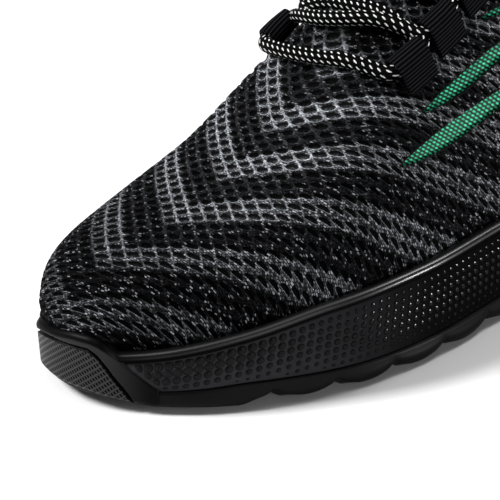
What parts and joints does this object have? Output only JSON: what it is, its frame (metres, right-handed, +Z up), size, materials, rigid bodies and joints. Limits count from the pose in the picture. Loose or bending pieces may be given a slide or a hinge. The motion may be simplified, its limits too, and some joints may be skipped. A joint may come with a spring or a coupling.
{
  "type": "safety shoe",
  "caption": "Left low safety sneaker: hollow knit bootie upper with side slits and tape lace loops on a cup sole with lugs, lip bead and rubber toe bumper.",
  "frame": {"origin": "middle of the bounding box's bottom face, on the floor", "axes": "+X to the toe, +Y to the wearer's left (the outer side of this left shoe), +Z up"},
  "size_m": [0.3012, 0.106, 0.124],
  "materials": {
    "knit": "black and grey jacquard knit",
    "rubber": "matte black",
    "gloss": "glossy black",
    "mesh": "green mesh",
    "tape": "ribbed black tape",
    "cord": "black braid with white flecks",
    "foam": "matte dark foam"
  },
  "bodies": {
    "root": {"outsole": "rubber", "midsole": "rubber", "sole_lip": "gloss", "toe_bumper": "rubber", "upper": "knit", "slit_underlay": "mesh", "insole": "foam", "lace_bar": "cord", "lace_crossing_1": "cord", "lace_crossing_2": "cord", "lace_crossing_3": "cord", "lace_loop_lateral_1": "tape", "lace_loop_lateral_2": "tape", "lace_loop_lateral_3": "tape", "lace_loop_lateral_4": "tape", "lace_loop_medial_1": "tape", "lace_loop_medial_2": "tape", "lace_loop_medial_3": "tape", "lace_loop_medial_4": "tape"}
  },
  "joints": []
}
